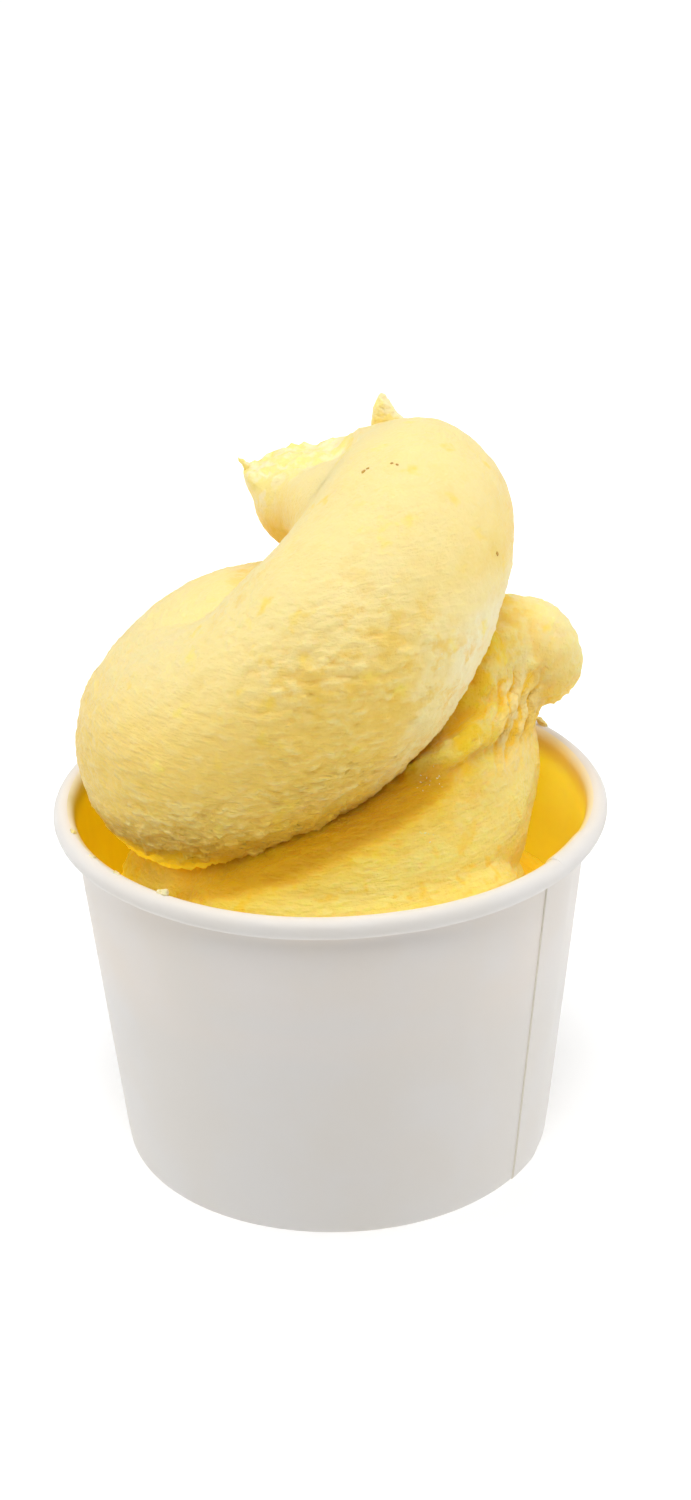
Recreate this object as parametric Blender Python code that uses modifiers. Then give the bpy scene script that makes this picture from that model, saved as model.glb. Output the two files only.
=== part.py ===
"""Soft serve in a paper cup: a thick rope of fruit soft serve wound into a round white paper cup.

Metres, +Z up. The origin is the middle of the cup's foot, on the surface that it stands on.
The cup is two pieces, a wrapped wall with a rolled rim and a folded hem, and a recessed base.
The soft serve is one uncut solid: the fill, the rope that rises from it in two turns, a fold
with a lobe at its end, and the torn end of the rope.
"""

import math

import bmesh
import bpy
from mathutils import Matrix, Vector

MM = 0.001

# Cup
CUP_HEIGHT = 61.5 * MM
RIM_RADIUS = 45.0 * MM
FOOT_RADIUS = 35.7 * MM
PAPER = 0.4 * MM
ROLL_RADIUS = 1.7 * MM
ROLL_SWEEP = 305.0
ROLL_STEPS = 10
HEM_INSET = 1.3 * MM
HEM_HEIGHT = 5.5 * MM
HEM_LEAN = 0.2 * MM
HEM_CORNER = 0.3 * MM
CUP_STEPS = 60

# Lap seam of the wrapped wall: where the outer layer ends, how wide the double layer is
SEAM_ANGLE = -36.7
SEAM_OVERLAP = 12.0
SEAM_FADE = 6.0
SEAM_EDGE = 0.3

# Base
BASE_HEIGHT = 7.0 * MM
SKIRT_BOTTOM = 1.0 * MM
GAP = 0.3 * MM

# Soft serve
FILL_LEVEL = 39.0 * MM
FILL_CROWN = 1.0 * MM
FILL_SPILL = 1.5 * MM
FOOD_GAP = 0.35 * MM
ROPE_SIDES = 24
POINTS_PER_SPAN = 8
END_STEPS = 4
VOXEL = 1.2 * MM
FOOD_FACES = 5200
SMOOTH_TURNS = 3

# Rope stations: turn about the cup's axis in degrees, reach from the axis, height and
# half thickness in millimetres. The rope climbs anticlockwise seen from above.
ROPE = (
    (197, 20.2, 50.0, 14.5),
    (216, 19.3, 51.2, 15.3),
    (255, 19.5, 54.0, 17.0),
    (284, 20.5, 57.0, 17.5),
    (317, 17.5, 61.0, 17.5),
    (360, 16.0, 63.0, 17.5),
    (395, 20.5, 65.0, 17.0),
    (424, 24.0, 68.5, 16.5),
    (459, 23.0, 74.5, 17.0),
    (496, 20.5, 75.5, 18.0),
    (534, 21.0, 71.5, 19.5),
    (570, 19.5, 74.0, 20.0),
    (607, 17.5, 83.0, 19.0),
    (643, 15.7, 93.0, 18.8),
    (679, 13.9, 101.5, 17.3),
    (720, 14.0, 107.5, 15.5),
    (765, 17.0, 107.0, 13.0),
    (797, 19.5, 105.0, 11.0),
    (812, 20.0, 106.5, 11.0),
    (815, 20.5, 111.0, 8.5),
)
# Where the lower turn spreads out to the front of the cup's wall
APRON = (
    (238, 26.0, 47.5, 13.0),
    (252, 27.0, 49.5, 15.0),
    (284, 27.4, 50.5, 15.2),
    (308, 26.5, 50.0, 14.5),
    (320, 25.0, 49.5, 12.0),
)
# The fold squeezed out between the two turns, and the lobe that it ends in
FOLD = (
    (296, 14.0, 73.0, 7.5),
    (308, 16.0, 74.5, 7.8),
    (321, 17.5, 76.0, 8.0),
    (337, 18.8, 77.5, 8.0),
    (350, 19.5, 79.0, 8.2),
    (367, 22.5, 81.5, 8.5),
    (376, 28.0, 83.5, 8.2),
    (376, 33.9, 82.6, 7.7),
    (375, 35.5, 79.6, 7.1),
)
# Soft serve pressed up between the fold and the upper turn
BACKING = (
    (298, 12.0, 70.0, 9.0),
    (318, 15.0, 74.5, 10.0),
    (338, 17.0, 79.0, 10.0),
    (358, 20.5, 83.0, 8.5),
)
# The square corner of the torn end, and the hollow between it and the bend
STUB = (
    (95, 20.5, 107.0, 9.0),
    (106, 22.4, 109.0, 6.8),
)
SADDLE = (
    (330, 9.0, 101.5, 10.5),
    (60, 7.5, 106.0, 9.5),
    (85, 14.0, 106.5, 8.5),
)
# Middle of the fill heaped under the rope
HEAP_CENTRE = (-2.0 * MM, 6.0 * MM, 44.0 * MM)
HEAP_RADII = (29.0 * MM, 28.0 * MM, 19.0 * MM)

# Torn end: a rough cut that rises towards +X and clears the bend in front of it, and a peak
# left standing behind the rope
TORN_CENTRE = (-12.0 * MM, 22.0 * MM)
TORN_HALF = 18.0 * MM
TORN_HEIGHT = 109.6 * MM
TORN_SLOPE = 0.17
TORN_FRONT = 17.0 * MM
TORN_SIDE = -8.0 * MM
TORN_BLEND = 8.0 * MM
TORN_STEEPNESS = 90.0
TORN_RIGHT = 1.0 * MM
TORN_RIGHT_STEEPNESS = 200.0
TORN_TOP = 140.0 * MM
TORN_GRID = 14
TORN_RELIEF = 0.6 * MM
PEAK_BASE = (10.8 * MM, 23.5 * MM, 110.0 * MM)
PEAK_TIP = (9.6 * MM, 25.0 * MM, 120.5 * MM)
PEAK_RADIUS = 3.0 * MM


def clear_scene():
    for obj in list(bpy.data.objects):
        bpy.data.objects.remove(obj, do_unlink=True)


def new_collection(name):
    collection = bpy.data.collections.new(name)
    bpy.context.scene.collection.children.link(collection)
    return collection


def principled(name, colour, roughness):
    material = bpy.data.materials.new(name)
    material.use_nodes = True
    shader = material.node_tree.nodes["Principled BSDF"]
    shader.inputs["Base Color"].default_value = (*colour, 1.0)
    shader.inputs["Roughness"].default_value = roughness
    shader.inputs["Metallic"].default_value = 0.0
    return material


def add_object(name, mesh, collection, material=None):
    obj = bpy.data.objects.new(name, mesh)
    collection.objects.link(obj)
    if material:
        mesh.materials.append(material)
    return obj


def as_cutter(obj):
    obj.hide_render = True
    obj.display_type = "WIRE"
    return obj


def wall_radius(height):
    """Radius of the middle of the wall's paper at this height."""
    foot = FOOT_RADIUS - PAPER / 2
    top = RIM_RADIUS - 2 * ROLL_RADIUS + PAPER / 2
    return foot + (top - foot) * height / (CUP_HEIGHT - ROLL_RADIUS)


def wall_inside(height):
    return wall_radius(height) - PAPER / 2


# ---------------------------------------------------------------- turned shapes


def turned(name, profile, collection, material=None):
    """A closed body turned from an outline of (radius, height) that runs top to bottom at +X."""
    mesh = bpy.data.meshes.new(name)
    mesh.from_pydata(
        [(radius, 0.0, height) for radius, height in profile],
        [(i, i + 1) for i in range(len(profile) - 1)],
        [],
    )
    obj = add_object(name, mesh, collection, material)
    screw = obj.modifiers.new("Turn", "SCREW")
    screw.axis = "Z"
    screw.steps = CUP_STEPS
    screw.render_steps = CUP_STEPS
    screw.use_merge_vertices = True
    screw.merge_threshold = 0.00001
    screw.use_smooth_shade = True
    return obj


def base_profile():
    """The base disc with its rim turned down, which stands in the hem's slot."""
    outer_top = wall_inside(BASE_HEIGHT) - GAP
    outer_bottom = wall_inside(SKIRT_BOTTOM) - GAP
    under = BASE_HEIGHT - PAPER
    return [
        (0.0, BASE_HEIGHT),
        (outer_top - PAPER, BASE_HEIGHT),
        (outer_top, BASE_HEIGHT - PAPER),
        (outer_bottom, SKIRT_BOTTOM),
        (outer_bottom - PAPER, SKIRT_BOTTOM),
        (outer_top - PAPER, under - PAPER / 2),
        (outer_top - 1.5 * PAPER, under),
        (0.0, under),
    ]


def room_profile():
    """The space that the soft serve may fill: the inside of the cup and all that is above it."""
    floor = BASE_HEIGHT + GAP
    lip = CUP_HEIGHT + GAP
    wide = RIM_RADIUS * 1.5
    return [
        (0.0, CUP_HEIGHT * 2.5),
        (wide, CUP_HEIGHT * 2.5),
        (wide, lip),
        (wall_inside(CUP_HEIGHT - ROLL_RADIUS) - FOOD_GAP, lip),
        (wall_inside(CUP_HEIGHT - ROLL_RADIUS) - FOOD_GAP, CUP_HEIGHT - ROLL_RADIUS),
        (wall_inside(floor) - FOOD_GAP, floor),
        (0.0, floor),
    ]


def fill_profile():
    """The fill, a little wider than the cup so that the room trims its side."""
    edge = wall_inside(FILL_LEVEL) + FILL_SPILL
    bottom = BASE_HEIGHT - FILL_SPILL
    return [
        (0.0, FILL_LEVEL + FILL_CROWN),
        (edge * 0.7, FILL_LEVEL + FILL_CROWN),
        (edge * 0.88, FILL_LEVEL + FILL_CROWN / 2),
        (edge, FILL_LEVEL - FILL_CROWN / 2),
        (wall_inside(0.0) + FILL_SPILL, bottom),
        (0.0, bottom),
    ]


# ---------------------------------------------------------------- cup wall


def wall_centreline():
    """The middle of the paper, from the hem's inner edge, under the foot, up and round the roll."""
    hem = FOOT_RADIUS - HEM_INSET
    half = PAPER / 2
    points = [
        (hem + HEM_LEAN, HEM_HEIGHT),
        (hem, half + HEM_CORNER),
        (hem + HEM_CORNER, half),
        (wall_radius(0.0) - HEM_CORNER, half),
        (wall_radius(HEM_CORNER), half + HEM_CORNER),
    ]
    centre = (RIM_RADIUS - ROLL_RADIUS, CUP_HEIGHT - ROLL_RADIUS)
    curl = ROLL_RADIUS - half
    for step in range(ROLL_STEPS + 1):
        angle = math.radians(180.0 - ROLL_SWEEP * step / ROLL_STEPS)
        points.append((centre[0] + curl * math.cos(angle), centre[1] + curl * math.sin(angle)))
    return points


def paper_outline(points, thickness):
    """The closed outline of a strip of this thickness: its left side, then its right side back."""
    left = []
    right = []
    for index, point in enumerate(points):
        before = Vector(points[max(index - 1, 0)])
        after = Vector(points[min(index + 1, len(points) - 1)])
        here = Vector(point)
        sides = [side.normalized() for side in (here - before, after - here) if side.length > 0]
        along = sum(sides, Vector((0.0, 0.0))).normalized()
        stretch = 1.0 / max(along.dot(sides[0]), 0.5)
        across = Vector((-along.y, along.x)) * thickness / 2 * stretch
        left.append(here + across)
        right.append(here - across)
    return left, right[::-1]


def seam_lift(offset):
    """How far the outer layer stands out, at this many degrees past its edge."""
    if offset < 0.0:
        return 0.0
    fade = min(max((offset - SEAM_OVERLAP) / SEAM_FADE, 0.0), 1.0)
    return PAPER * (1.0 - fade * fade * (3.0 - 2.0 * fade))


def build_wall(collection, material):
    """Sections of the paper's outline, lofted round the cup, with the step of the lap seam."""
    inner, outer = paper_outline(wall_centreline(), PAPER)
    lap_top = CUP_HEIGHT - 3 * ROLL_RADIUS
    offsets = [0.0, SEAM_EDGE]
    offsets += [360.0 * step / CUP_STEPS for step in range(1, CUP_STEPS)]
    offsets.append(360.0 - SEAM_EDGE)
    bm = bmesh.new()
    rings = []
    for offset in offsets:
        angle = math.radians(SEAM_ANGLE + offset)
        lift = seam_lift(offset) if offset > 0.0 else 0.0
        ring = []
        for point in inner:
            ring.append((point.x, point.y))
        for point in outer:
            in_lap = PAPER < point.y < lap_top and point.x > FOOT_RADIUS
            ring.append((point.x + lift * in_lap, point.y))
        rings.append(
            [bm.verts.new((r * math.cos(angle), r * math.sin(angle), z)) for r, z in ring]
        )
    count = len(rings[0])
    for index, ring in enumerate(rings):
        following = rings[(index + 1) % len(rings)]
        for k in range(count):
            after = (k + 1) % count
            bm.faces.new((ring[k], ring[after], following[after], following[k]))
    bmesh.ops.recalc_face_normals(bm, faces=bm.faces)
    mesh = bpy.data.meshes.new("cup_wall")
    bm.to_mesh(mesh)
    bm.free()
    mesh.shade_smooth()
    mesh.set_sharp_from_angle(angle=math.radians(40))
    return add_object("cup_wall", mesh, collection, material)


# ---------------------------------------------------------------- soft serve


def station_point(station):
    """(x, y, z, half thickness) in metres of one rope station."""
    turn, reach, height, thickness = station
    angle = math.radians(turn)
    return Vector((reach * math.cos(angle), reach * math.sin(angle), height, thickness)) * MM


def smooth_path(stations):
    """Points along a Catmull-Rom curve through the stations."""
    points = [station_point(station) for station in stations]
    points = [2 * points[0] - points[1], *points, 2 * points[-1] - points[-2]]
    path = []
    for p0, p1, p2, p3 in zip(points, points[1:], points[2:], points[3:]):
        for step in range(POINTS_PER_SPAN):
            t = step / POINTS_PER_SPAN
            bend = 2 * p0 - 5 * p1 + 4 * p2 - p3
            twist = 3 * p1 - p0 - 3 * p2 + p3
            path.append(0.5 * (2 * p1 + (p2 - p0) * t + bend * t * t + twist * t**3))
    path.append(points[-2])
    return path


def rounded_end(last, before):
    """Samples that round off the end of a rope."""
    ahead = (last.xyz - before.xyz).normalized()
    samples = []
    for step in range(1, END_STEPS + 1):
        angle = math.radians(90.0 * step / (END_STEPS + 1))
        place = last.xyz + ahead * last.w * math.sin(angle)
        samples.append(Vector((*place, last.w * math.cos(angle))))
    return samples


def rope_mesh(name, stations, collection):
    """A tube of changing thickness along the stations, with rounded ends."""
    path = smooth_path(stations)
    path = rounded_end(path[0], path[1])[::-1] + path + rounded_end(path[-1], path[-2])
    data = bpy.data.curves.new(name, "CURVE")
    data.dimensions = "3D"
    data.bevel_depth = 1.0
    data.bevel_resolution = ROPE_SIDES // 2 - 2
    data.use_fill_caps = True
    spline = data.splines.new("POLY")
    spline.points.add(len(path) - 1)
    for point, place in zip(spline.points, path):
        point.co = (*place.xyz, 1.0)
        point.radius = place.w
    curve = add_object(name, data, collection)
    bpy.context.view_layer.update()
    graph = bpy.context.evaluated_depsgraph_get()
    mesh = bpy.data.meshes.new_from_object(curve.evaluated_get(graph))
    bpy.data.objects.remove(curve)
    return mesh


def ball_mesh(name, centre, radii):
    bm = bmesh.new()
    bmesh.ops.create_uvsphere(bm, u_segments=32, v_segments=20, radius=1.0)
    place = Matrix.Translation(centre) @ Matrix.Diagonal((*radii, 1.0))
    bmesh.ops.transform(bm, matrix=place, verts=bm.verts)
    mesh = bpy.data.meshes.new(name)
    bm.to_mesh(mesh)
    bm.free()
    return mesh


def peak_mesh():
    """The pointed tuft left where the rope was pulled off."""
    base = Vector(PEAK_BASE)
    rise = Vector(PEAK_TIP) - base
    bm = bmesh.new()
    bmesh.ops.create_cone(
        bm,
        cap_ends=True,
        segments=12,
        radius1=PEAK_RADIUS,
        radius2=PEAK_RADIUS * 0.3,
        depth=rise.length,
    )
    place = Matrix.Translation(base + rise / 2) @ rise.to_track_quat("Z", "X").to_matrix().to_4x4()
    bmesh.ops.transform(bm, matrix=place, verts=bm.verts)
    mesh = bpy.data.meshes.new("peak")
    bm.to_mesh(mesh)
    bm.free()
    return mesh


def torn_height(x, y):
    """Height of the tear here: it rises towards +X, and steeply towards the bend in front."""
    near = max(TORN_FRONT - y, 0.0)
    beside = min(max((x - TORN_SIDE) / TORN_BLEND, 0.0), 1.0)
    rise = TORN_SLOPE * (x - TORN_CENTRE[0]) + beside * near * near * TORN_STEEPNESS
    rise += max(x - TORN_RIGHT, 0.0) ** 2 * TORN_RIGHT_STEEPNESS
    wave = math.sin(500 * x + 220 * y) + math.sin(400 * y - 280 * x + 1) + math.sin(900 * x - 650 * y)
    return TORN_HEIGHT + rise + TORN_RELIEF * wave


def torn_cutter(collection):
    """A block over the rope's end whose underside is as rough as a tear."""
    bm = bmesh.new()
    bmesh.ops.create_grid(bm, x_segments=TORN_GRID, y_segments=TORN_GRID, size=TORN_HALF)
    bmesh.ops.translate(bm, verts=bm.verts, vec=(*TORN_CENTRE, 0.0))
    for vert in bm.verts:
        vert.co.z = torn_height(vert.co.x, vert.co.y)
    lifted = bmesh.ops.extrude_face_region(bm, geom=bm.faces[:])
    for item in lifted["geom"]:
        if isinstance(item, bmesh.types.BMVert):
            item.co.z = TORN_TOP
    bmesh.ops.recalc_face_normals(bm, faces=bm.faces)
    mesh = bpy.data.meshes.new("torn_end")
    bm.to_mesh(mesh)
    bm.free()
    return as_cutter(add_object("torn_end", mesh, collection))


def joined_mesh(name, meshes):
    bm = bmesh.new()
    for mesh in meshes:
        bm.from_mesh(mesh)
    bmesh.ops.remove_doubles(bm, verts=bm.verts, dist=0.00001)
    joined = bpy.data.meshes.new(name)
    bm.to_mesh(joined)
    bm.free()
    return joined


def turned_mesh(name, profile, collection):
    obj = turned(name, profile, collection)
    bpy.context.view_layer.update()
    graph = bpy.context.evaluated_depsgraph_get()
    mesh = bpy.data.meshes.new_from_object(obj.evaluated_get(graph))
    bpy.data.objects.remove(obj)
    return mesh


def add_boolean(obj, name, operation, other):
    boolean = obj.modifiers.new(name, "BOOLEAN")
    boolean.operation = operation
    boolean.object = other


def build_soft_serve(collection, cutters, material):
    """Fill, heap, rope, fold and peak grown into one body, then trimmed to the cup and torn."""
    meshes = [
        turned_mesh("fill", fill_profile(), collection),
        ball_mesh("heap", HEAP_CENTRE, HEAP_RADII),
        *(
            rope_mesh("rope", stations, collection)
            for stations in (ROPE, APRON, FOLD, BACKING, STUB, SADDLE)
        ),
        peak_mesh(),
    ]
    mesh = joined_mesh("soft_serve", meshes)
    obj = add_object("soft_serve", mesh, collection, material)
    remesh = obj.modifiers.new("Grow together", "REMESH")
    remesh.mode = "VOXEL"
    remesh.voxel_size = VOXEL
    smooth = obj.modifiers.new("Soften", "SMOOTH")
    smooth.factor = 0.5
    smooth.iterations = SMOOTH_TURNS
    bpy.context.view_layer.update()
    graph = bpy.context.evaluated_depsgraph_get()
    grown = obj.evaluated_get(graph).to_mesh()
    grown.calc_loop_triangles()
    share = FOOD_FACES / len(grown.loop_triangles)
    decimate = obj.modifiers.new("Thin out", "DECIMATE")
    decimate.ratio = share
    room = as_cutter(turned("room", room_profile(), cutters))
    add_boolean(obj, "Fit the cup", "INTERSECT", room)
    add_boolean(obj, "Tear", "DIFFERENCE", torn_cutter(cutters))
    return obj


def main():
    clear_scene()
    parts = new_collection("soft_serve_cup")
    cutters = new_collection("cutters")
    paper = principled("white_paper", (0.86, 0.85, 0.82), 0.55)
    base_paper = principled("base_paper", (0.84, 0.83, 0.80), 0.6)
    food = principled("soft_serve", (0.95, 0.78, 0.34), 0.4)
    build_wall(parts, paper)
    turned("cup_base", base_profile(), parts, base_paper)
    build_soft_serve(parts, cutters, food)


main()
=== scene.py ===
"""Looks of the soft serve cup: white paper cup, thick rope of yellow fruit soft serve.

Metres, +Z up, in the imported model's own frame. The named sizes, the stations of the ropes
and the points of the meshes while they are shaped are in millimetres: times MM, metres.
"""

import itertools
import math

import bmesh
import bpy
import numpy as np
from mathutils import Matrix, Vector
from mathutils.bvhtree import BVHTree


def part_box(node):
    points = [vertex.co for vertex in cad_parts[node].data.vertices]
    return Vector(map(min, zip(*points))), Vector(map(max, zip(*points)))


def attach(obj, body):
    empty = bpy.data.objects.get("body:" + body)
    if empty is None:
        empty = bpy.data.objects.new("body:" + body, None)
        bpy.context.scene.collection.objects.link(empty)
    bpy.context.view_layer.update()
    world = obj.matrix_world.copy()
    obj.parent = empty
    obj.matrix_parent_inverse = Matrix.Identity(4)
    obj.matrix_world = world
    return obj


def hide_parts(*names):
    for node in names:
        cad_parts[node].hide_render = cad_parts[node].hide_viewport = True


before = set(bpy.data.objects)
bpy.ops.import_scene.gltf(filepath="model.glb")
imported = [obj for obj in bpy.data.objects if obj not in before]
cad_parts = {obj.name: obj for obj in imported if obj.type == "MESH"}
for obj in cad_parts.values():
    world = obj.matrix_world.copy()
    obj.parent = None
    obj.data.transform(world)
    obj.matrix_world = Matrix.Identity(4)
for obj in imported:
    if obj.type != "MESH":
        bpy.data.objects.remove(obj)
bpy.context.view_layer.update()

MM = 0.001
WELD = 0.01 * MM

# Cup, from the frame where the frame says it
WALL_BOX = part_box("cup_wall")
BASE_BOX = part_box("cup_base")
FOOD_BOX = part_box("soft_serve")
RIM_RADIUS = WALL_BOX[1].x / MM
CUP_HEIGHT = WALL_BOX[1].z / MM
BASE_TOP = BASE_BOX[1].z / MM
SKIRT_BOTTOM = BASE_BOX[0].z / MM
FOOD_TOP = FOOD_BOX[1].z / MM
FOOT_RADIUS = 35.7
FOOT_CORNER = 0.45
PAPER = 0.4
HEM_INSET = 1.3
HEM_HEIGHT = 5.5
ROLL_RADIUS = 1.7
ROLL_SWEEP = 305.0
BASE_GAP = 0.3
BASE_CORNER = 0.8
BASE_SAG = 0.25
# The lap seam: where its edge is, how far it reaches and fades out in degrees, how much the
# second paper stands out, the gap of shadow at its edge, and the thicker roll over it
SEAM_ANGLE = -36.7
SEAM_OVERLAP = 12.0
SEAM_FADE = 5.0
SEAM_STEP = 0.24
SEAM_SHADOW = 0.05
SEAM_SWELL = 0.09
SEAM_SHIFT = 0.16
# Columns round the wall, rows up it and along the roll, how many of the paper's points are in
# the hem, and how many rows of the roll face the fruit
CUP_COLUMNS = 360
WALL_ROWS = 16
ROLL_STEPS = 26
HEM_POINTS = 7
INSIDE_ROLL = 6
# The wall's four materials, in the order of their slots
OUTSIDE, COATED, CUT, LIP_INSIDE = range(4)

# Soft serve: its levels in the cup, how far it may press into the wall, how finely each skin
# is meshed and the ropes are sampled, and the fewest vertices of a shell that is kept
FILL_LEVEL = 38.5
PUCK_BOTTOM = 34.0
WALL_BITE = 0.12
LOWER_VOXEL = 0.585
UPPER_VOXEL = 0.53
FLAKE_VOXEL = 0.22
SAMPLES_PER_SPAN = 24
ROPE_RESOLUTION = 12
SMALLEST_SHELL = 24
# Where noise is drawn out in level circles, a turn is as long as a circle of this radius
UNROLL_RADIUS = 30.0

# Rope stations: turn in degrees, reach, height and half thickness in millimetres
LOWER_ROPE = (
    (197, 20.2, 50.0, 14.5),
    (216, 19.3, 51.2, 15.3),
    (255, 19.5, 54.0, 17.0),
    (284, 20.5, 57.0, 17.5),
    (317, 17.5, 61.0, 17.5),
    (360, 16.0, 63.0, 17.5),
    (395, 20.5, 65.0, 17.0),
    (424, 24.0, 68.5, 16.5),
    (459, 23.0, 74.5, 15.5),
    (478, 22.0, 75.0, 11.0),
)
UPPER_ROPE = (
    (405, 22.0, 66.5, 11.0),
    (424, 24.0, 68.5, 15.5),
    (459, 23.0, 74.5, 17.0),
    (496, 20.5, 75.5, 18.0),
    (534, 21.0, 71.5, 19.5),
    (570, 19.5, 74.0, 20.0),
    (607, 17.5, 83.0, 19.0),
    (643, 15.7, 93.0, 18.8),
    (679, 13.9, 101.5, 17.3),
    (720, 14.0, 107.5, 15.5),
    (765, 17.0, 107.0, 13.0),
    (797, 19.5, 105.0, 11.0),
    (812, 20.0, 106.5, 11.0),
    (815, 20.5, 111.0, 8.5),
)
# Where the lower turn spreads out to the front of the cup's wall
APRON = (
    (238, 26.0, 47.5, 13.0),
    (252, 27.0, 49.5, 15.0),
    (284, 27.4, 50.5, 15.2),
    (308, 26.5, 50.0, 14.5),
    (320, 25.0, 49.5, 12.0),
)
# The fold at the front, and the lobe it ends in at the right
FOLD = (
    (296, 14.0, 73.0, 7.5),
    (308, 16.0, 74.5, 7.8),
    (321, 17.5, 76.0, 8.0),
    (337, 18.8, 77.5, 8.0),
    (350, 19.5, 79.0, 8.2),
    (367, 22.5, 81.5, 8.5),
    (376, 28.0, 83.5, 8.2),
)
LOBE = (
    (377, 29.0, 83.0, 7.6),
    (376, 33.9, 82.6, 7.7),
    (375, 35.5, 79.6, 7.1),
)
# Lip of the fold, which overhangs the turn below it
LIP = (
    (300, 24.6, 76.0, 2.0),
    (306, 25.6, 76.8, 2.4),
    (313, 26.7, 77.6, 2.7),
    (322, 26.7, 78.3, 2.8),
    (337, 27.4, 78.2, 2.8),
    (350, 28.0, 79.0, 2.4),
)
# Thin pleats squeezed out between the fold and the turn below it, and the paste behind them
PLEATS = (
    (
        (2, 32.4, 82.6, 1.1),
        (358.3, 30.0, 78.9, 1.15),
        (355.8, 28.8, 76.0, 1.15),
        (346, 28.5, 75.0, 1.0),
    ),
    (
        (5, 34.0, 79.8, 1.1),
        (4.5, 32.3, 77.0, 1.15),
        (0, 30.6, 74.9, 1.15),
        (351, 29.9, 73.9, 1.0),
    ),
    (
        (7.5, 34.6, 77.0, 1.1),
        (6.8, 33.9, 74.6, 1.1),
        (5, 33.0, 72.9, 1.1),
        (1, 32.0, 71.4, 0.9),
    ),
    ((3.3, 32.0, 81.0, 1.2), (2, 30.6, 78.4, 1.2), (0, 29.6, 76.0, 1.1)),
    ((6, 32.7, 76.6, 1.2), (4.2, 31.8, 74.4, 1.2), (2, 30.8, 72.8, 1.1)),
)
# Juice and painted shade gathered in a pocket of the fold, and how far apart the finest pleats
# beside it are
JUICE_CENTRE = (22.3, -13.0, 81.3)
JUICE_REACH = 3.2
PLEAT_SPACING = 2.3
# How deep the lower turn is pressed in where the upper one lies on it
GROOVE = 1.2
# The square corner of the torn end, and the hollow between it and the bend
STUB = (
    (95, 20.5, 107.0, 9.0),
    (106, 22.4, 109.0, 6.8),
)
SADDLE = (
    (330, 9.0, 101.5, 10.5),
    (60, 7.5, 106.0, 9.5),
    (85, 14.0, 106.5, 8.5),
)
# Fills out the corner behind the bend, where the rope turns up to the torn end
CORNER = (
    (73, 24.2, 110.4, 3.4),
    (78, 24.4, 110.6, 3.7),
    (84, 24.2, 110.7, 3.4),
)
# Places where the upper turn is smoothed further: middle, reach and rounds
SOFTENED = (
    ((-1.0, 5.0, 112.0), 17.0, 180),
    ((-15.5, -22.0, 98.5), 14.0, 50),
    ((5.0, 26.5, 111.5), 5.5, 30),
)
# Soft serve pressed up between the fold and the upper turn
BACKING = (
    (298, 12.0, 70.0, 9.0),
    (318, 15.0, 74.5, 10.0),
    (338, 17.0, 79.0, 10.0),
    (358, 20.5, 83.0, 8.5),
)
# The torn leaf behind the bend, a sliver on the torn end, and crumbs on the rim
LEAF = (
    (
        (69.5, 26.4, 112.5, 1.4),
        (69.3, 26.4, 115.6, 1.35),
        (68.5, 26.4, 118.2, 1.35),
        (68.1, 26.6, 119.9, 0.8),
    ),
    ((66.5, 27.2, 112.5, 1.8), (66.7, 27.0, 116.4, 1.7), (67.4, 26.7, 118.7, 1.1)),
    ((63, 27.9, 112.5, 1.4), (64, 27.7, 115.6, 1.2), (66, 27.1, 117.4, 0.8)),
)
SLIVER = (
    (117, 25.0, 108.0, 0.9),
    (119, 25.4, 109.7, 0.6),
    (121, 25.9, 110.7, 0.35),
    (121.5, 26.1, 111.0, 0.15),
)
CRUMBS = (
    ((232.5, 42.6, 61.6, 0.5), (234.0, 42.5, 61.7, 0.6)),
    ((196.0, 42.8, 61.3, 0.35), (197.5, 42.6, 61.4, 0.45)),
    ((209.0, 42.8, 61.3, 0.3), (210.5, 42.7, 61.4, 0.4)),
    ((219.0, 42.7, 61.4, 0.4), (220.2, 42.6, 61.3, 0.3)),
    ((33.0, 43.6, 61.5, 0.6), (34.5, 43.3, 62.3, 0.5)),
)
# Brown specks of fruit, and patches of icy grains, pale as painted glints, each grain brought onto
# the nearest skin:
# place and half width of each speck; middle, reach and number of grains of each patch
SPECKS = (
    (6.3, -9.4, 119.3, 0.3),
    (7.0, -9.2, 119.6, 0.22),
    (10.6, -9.6, 120.4, 0.22),
    (11.3, -10.0, 120.4, 0.2),
    (25.8, -14.1, 107.4, 0.27),
)
ICE_PATCHES = (
    (16.0, -23.3, 74.2, 2.6, 14),
    (14.2, -30.5, 68.6, 1.6, 8),
    (16.0, -27.5, 95.5, 1.0, 5),
)
# The heap of fill under the rope
HEAP_CENTRE = (-2.0, 6.0, 44.0)
HEAP_RADII = (29.0, 28.0, 19.0)

# Torn end: the square it is cut in, and its height and slope there
TORN_CENTRE = (-12.0, 22.0)
TORN_HALF = 18.0
TORN_HEIGHT = 109.6
TORN_SLOPE = 0.17

# Fruit colours, painted light and shade among them: lit and shaded cream, highlights, hollows,
# creases and glow
CREAM_SHADED = (0.96, 0.665, 0.145)
CREAM_LIT = (0.975, 0.785, 0.345)
FROSTED = (1.0, 0.87, 0.52)
RIPE = (1.0, 0.775, 0.215)
RIPE_SPOT = (1.0, 0.61, 0.03)
PIT = (0.82, 0.57, 0.08)
RIDGE = (1.0, 0.85, 0.42)
FRUIT_PATCH = (0.93, 0.61, 0.09)
JUICE = (1.0, 0.60, 0.02)
PULP_DEEP = (1.0, 0.70, 0.09)
PULP_LEMON = (1.0, 0.80, 0.15)
CREASE = (1.0, 0.61, 0.006)
CREASE_DEEP = (0.62, 0.32, 0.003)
CRUMB_YELLOW = (1.0, 0.84, 0.30)
CRUMB_PALE = (1.0, 0.89, 0.55)
# Colour of the painted glow, as if light came through the fruit
FRUIT_GLOW = (1.0, 0.69, 0.02)
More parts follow.
